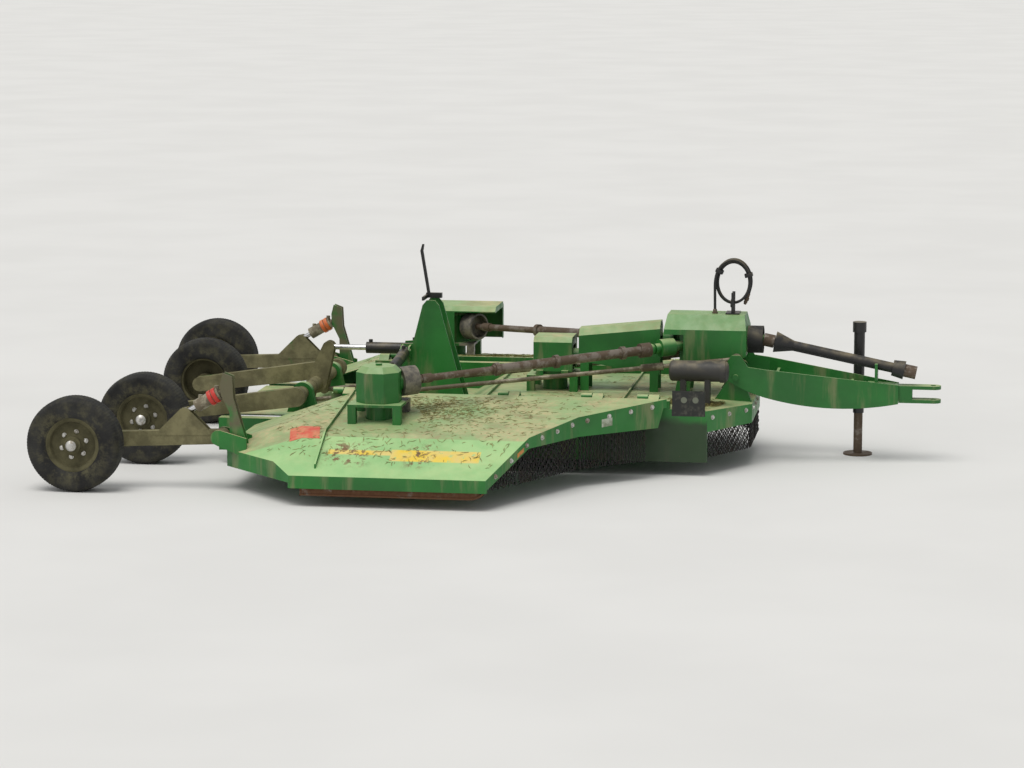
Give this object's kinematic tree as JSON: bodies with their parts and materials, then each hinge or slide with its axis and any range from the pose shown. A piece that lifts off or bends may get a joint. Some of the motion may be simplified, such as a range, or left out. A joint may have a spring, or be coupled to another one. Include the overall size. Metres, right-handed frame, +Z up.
{
  "type": "batwing mower",
  "caption": "Towed flex-wing rotary cutter: centre deck with folding wings, blade rotors, trailing wheels, drive shafts and a tongue with its parking jack.",
  "frame": {"origin": "middle of the machine's box, on the floor", "axes": "+X towards the hitch, +Y to the machine's left, +Z up"},
  "size_m": [4.9899, 3.8, 1.22],
  "materials": {
    "green_paint": "satin farm green under pale dust",
    "green_casting": "painted casting, dusty",
    "olive_paint": "green paint under dry mud",
    "rim_paint": "dirty rim, dull",
    "tan_cylinder": "dust on a painted barrel",
    "tan_rod": "dusty rod",
    "black_metal": "satin black",
    "black_plastic": "matt black",
    "black_rubber": "matt black",
    "tyre": "worn and dusty",
    "chain_steel": "dull steel",
    "bare_shaft": "brown weathered steel",
    "blade_steel": "scuffed steel",
    "rusty_steel": "rust and mud",
    "chrome_rod": "polished"
  },
  "bodies": {
    "frame": {"centre_deck": "green_paint", "axle_bearings": "green_casting", "centre_chains": "chain_steel", "centre_gearbox": "green_casting", "centre_gearbox_shield": "green_paint", "centre_shaft": "bare_shaft", "driveline_shield": "green_paint", "splitter_gearbox": "green_casting", "front_shield": "green_paint", "drive_bell": "black_rubber", "lift_mast": "green_paint", "lock_bar": "black_metal", "manual_tube": "black_plastic", "hose_hanger": "black_metal", "hose_coil": "black_rubber"},
    "tongue": {"tongue_beam": "green_paint", "hitch_clevis": "green_casting", "jack_tube": "black_metal"},
    "jack": {"jack_leg": "bare_shaft"},
    "drive_shaft": {"pto_shaft": "bare_shaft", "pto_guard": "black_plastic"},
    "axle": {"centre_axle": "olive_paint"},
    "level_rods": {"level_rods": "tan_rod"},
    "lift_barrel": {"lift_barrel": "black_metal"},
    "lift_rod": {"lift_rod": "chrome_rod"},
    "rotor_centre": {"blade_rotor_centre": "blade_steel"},
    "wing_left": {"wing_deck_left": "green_paint", "wing_skid_left": "rusty_steel", "wing_chains_left": "chain_steel", "wing_gearbox_left": "green_casting", "wing_gearbox_shield_left": "green_paint"},
    "wheel_arm_left": {"wing_wheel_arm_left": "olive_paint"},
    "wing_lift_barrel_left": {"wing_lift_barrel_left": "tan_cylinder"},
    "wing_lift_rod_left": {"wing_lift_rod_left": "chrome_rod"},
    "fold_barrel_left": {"fold_barrel_left": "black_metal"},
    "fold_rod_left": {"fold_rod_left": "chrome_rod"},
    "shaft_tube_left": {"wing_shaft_tube_left": "bare_shaft"},
    "shaft_bar_left": {"wing_shaft_bar_left": "bare_shaft"},
    "rotor_left": {"blade_rotor_left": "blade_steel"},
    "wheel_centre_left": {"tyre_centre_left": "tyre", "rim_centre_left": "rim_paint"},
    "wheel_wing_left": {"tyre_wing_left": "tyre", "rim_wing_left": "rim_paint"},
    "wing_right": {"wing_deck_right": "green_paint", "wing_skid_right": "rusty_steel", "wing_chains_right": "chain_steel", "wing_gearbox_right": "green_casting"},
    "wheel_arm_right": {"wing_wheel_arm_right": "olive_paint"},
    "wing_lift_barrel_right": {"wing_lift_barrel_right": "tan_cylinder"},
    "wing_lift_rod_right": {"wing_lift_rod_right": "chrome_rod"},
    "fold_barrel_right": {"fold_barrel_right": "black_metal"},
    "fold_rod_right": {"fold_rod_right": "chrome_rod"},
    "shaft_tube_right": {"wing_shaft_tube_right": "bare_shaft"},
    "shaft_bar_right": {"wing_shaft_bar_right": "bare_shaft"},
    "rotor_right": {"blade_rotor_right": "blade_steel"},
    "wheel_centre_right": {"tyre_centre_right": "tyre", "rim_centre_right": "rim_paint"},
    "wheel_wing_right": {"tyre_wing_right": "tyre", "rim_wing_right": "rim_paint"}
  },
  "joints": [
    {"name": "axle_lift", "type": "hinge", "parent": "frame", "child": "axle", "pos_m": [-1.21, 0, 0.385], "axis": [0, -1, 0], "range_deg": [-2, 20]},
    {"name": "tongue_pitch", "type": "hinge", "parent": "frame", "child": "tongue", "pos_m": [1.32, 0, 0.51], "axis": [0, 1, 0], "range_deg": [-1.6, 15.5]},
    {"name": "level_rod_turn", "type": "hinge", "parent": "axle", "child": "level_rods", "pos_m": [-1.21, 0, 0.308], "axis": [0, 1, 0], "range_deg": [-2.1, 20.3]},
    {"name": "lift_barrel_turn", "type": "hinge", "parent": "frame", "child": "lift_barrel", "pos_m": [-0.53, 0, 0.6], "axis": [0, 1, 0], "range_deg": [-0.2, 1.3]},
    {"name": "lift_rod_slide", "type": "slide", "parent": "lift_barrel", "child": "lift_rod", "axis": [-1, 0, 0], "range_m": [-0.009, 0.08]},
    {"name": "drive_shaft_turn", "type": "hinge", "parent": "frame", "child": "drive_shaft", "pos_m": [1.465, 0, 0.7], "axis": [0, 1, 0], "range_deg": [-1.8, 17.2]},
    {"name": "jack_slide", "type": "slide", "parent": "tongue", "child": "jack", "axis": [0, 0, 1], "range_m": [-0.1, 0.23]},
    {"name": "rotor_centre_spin", "type": "hinge", "parent": "frame", "child": "rotor_centre", "pos_m": [0.23, 0, 0.15], "axis": [0, 0, 1], "continuous": true},
    {"name": "wing_fold_left", "type": "hinge", "parent": "frame", "child": "wing_left", "pos_m": [0, 0.705, 0.45], "axis": [1, 0, 0], "range_deg": [-20, 90]},
    {"name": "wing_lift_left", "type": "hinge", "parent": "wing_left", "child": "wheel_arm_left", "pos_m": [-1.44, 1.475, 0.3], "axis": [0, -1, 0], "range_deg": [-2, 20]},
    {"name": "wing_barrel_turn_left", "type": "hinge", "parent": "wing_left", "child": "wing_lift_barrel_left", "pos_m": [-1.408, 1.475, 0.562], "axis": [0, -1, 0], "range_deg": [-0.9, 8.4]},
    {"name": "wing_rod_slide_left", "type": "slide", "parent": "wing_lift_barrel_left", "child": "wing_lift_rod_left", "axis": [-0.8645, 0, -0.5027], "range_m": [-0.0071, 0.0695]},
    {"name": "fold_barrel_turn_left", "type": "hinge", "parent": "frame", "child": "fold_barrel_left", "pos_m": [-0.65, 0.12, 0.6], "axis": [1, 0, 0], "range_deg": [-2.95, 12.95]},
    {"name": "fold_rod_slide_left", "type": "slide", "parent": "fold_barrel_left", "child": "fold_rod_left", "axis": [0, 0.9932, -0.1168], "range_m": [-0.2185, 0.049]},
    {"name": "shaft_turn_left", "type": "hinge", "parent": "frame", "child": "shaft_tube_left", "pos_m": [0.82, 0.24, 0.66], "axis": [0.9373, -0.3239, 0.1285], "range_deg": [-19.8, 89]},
    {"name": "shaft_slide_left", "type": "slide", "parent": "shaft_tube_left", "child": "shaft_bar_left", "axis": [-0.8174, 0.5739, -0.0493], "range_m": [-0.2025, 0.0455]},
    {"name": "rotor_left_spin", "type": "hinge", "parent": "wing_left", "child": "rotor_left", "pos_m": [-0.59, 1.23, 0.15], "axis": [0, 0, 1], "continuous": true},
    {"name": "wheel_centre_left_spin", "type": "hinge", "parent": "axle", "child": "wheel_centre_left", "pos_m": [-2.08, 0.72, 0.265], "axis": [0, 1, 0], "continuous": true},
    {"name": "wheel_wing_left_spin", "type": "hinge", "parent": "wheel_arm_left", "child": "wheel_wing_left", "pos_m": [-2.23, 1.62, 0.265], "axis": [0, 1, 0], "continuous": true},
    {"name": "wing_fold_right", "type": "hinge", "parent": "frame", "child": "wing_right", "pos_m": [0, -0.705, 0.45], "axis": [-1, 0, 0], "range_deg": [-20, 90]},
    {"name": "wing_lift_right", "type": "hinge", "parent": "wing_right", "child": "wheel_arm_right", "pos_m": [-1.44, -1.475, 0.3], "axis": [0, -1, 0], "range_deg": [-2, 20]},
    {"name": "wing_barrel_turn_right", "type": "hinge", "parent": "wing_right", "child": "wing_lift_barrel_right", "pos_m": [-1.408, -1.475, 0.562], "axis": [0, -1, 0], "range_deg": [-0.9, 8.4]},
    {"name": "wing_rod_slide_right", "type": "slide", "parent": "wing_lift_barrel_right", "child": "wing_lift_rod_right", "axis": [-0.8645, 0, -0.5027], "range_m": [-0.0071, 0.0695]},
    {"name": "fold_barrel_turn_right", "type": "hinge", "parent": "frame", "child": "fold_barrel_right", "pos_m": [-0.65, -0.12, 0.6], "axis": [-1, 0, 0], "range_deg": [-2.95, 12.95]},
    {"name": "fold_rod_slide_right", "type": "slide", "parent": "fold_barrel_right", "child": "fold_rod_right", "axis": [0, -0.9932, -0.1168], "range_m": [-0.2185, 0.049]},
    {"name": "shaft_turn_right", "type": "hinge", "parent": "frame", "child": "shaft_tube_right", "pos_m": [0.82, -0.24, 0.66], "axis": [-0.9373, -0.3239, -0.1285], "range_deg": [-19.8, 89]},
    {"name": "shaft_slide_right", "type": "slide", "parent": "shaft_tube_right", "child": "shaft_bar_right", "axis": [-0.8174, -0.5739, -0.0493], "range_m": [-0.2025, 0.0455]},
    {"name": "rotor_right_spin", "type": "hinge", "parent": "wing_right", "child": "rotor_right", "pos_m": [-0.59, -1.23, 0.15], "axis": [0, 0, 1], "continuous": true},
    {"name": "wheel_centre_right_spin", "type": "hinge", "parent": "axle", "child": "wheel_centre_right", "pos_m": [-2.08, -0.72, 0.265], "axis": [0, 1, 0], "continuous": true},
    {"name": "wheel_wing_right_spin", "type": "hinge", "parent": "wheel_arm_right", "child": "wheel_wing_right", "pos_m": [-2.23, -1.62, 0.265], "axis": [0, 1, 0], "continuous": true}
  ],
  "couplings": [
    {"joint": "tongue_pitch", "follows": "axle_lift", "ratio": 0.77},
    {"joint": "level_rod_turn", "follows": "axle_lift", "ratio": 1.009},
    {"joint": "lift_barrel_turn", "follows": "axle_lift", "ratio": 0.06},
    {"joint": "lift_rod_slide", "follows": "axle_lift", "m_per_rad": 0.224},
    {"joint": "drive_shaft_turn", "follows": "axle_lift", "ratio": 0.849},
    {"joint": "wing_barrel_turn_left", "follows": "wing_lift_left", "ratio": 0.4155},
    {"joint": "wing_rod_slide_left", "follows": "wing_lift_left", "m_per_rad": 0.198},
    {"joint": "fold_barrel_turn_left", "follows": "wing_fold_left", "ratio": 0.143},
    {"joint": "fold_rod_slide_left", "follows": "wing_fold_left", "m_per_rad": -0.1388},
    {"joint": "shaft_turn_left", "follows": "wing_fold_left", "ratio": 0.98776},
    {"joint": "shaft_slide_left", "follows": "wing_fold_left", "m_per_rad": -0.12845},
    {"joint": "wing_barrel_turn_right", "follows": "wing_lift_right", "ratio": 0.4155},
    {"joint": "wing_rod_slide_right", "follows": "wing_lift_right", "m_per_rad": 0.198},
    {"joint": "fold_barrel_turn_right", "follows": "wing_fold_right", "ratio": 0.143},
    {"joint": "fold_rod_slide_right", "follows": "wing_fold_right", "m_per_rad": -0.1388},
    {"joint": "shaft_turn_right", "follows": "wing_fold_right", "ratio": 0.98776},
    {"joint": "shaft_slide_right", "follows": "wing_fold_right", "m_per_rad": -0.12845}
  ]
}
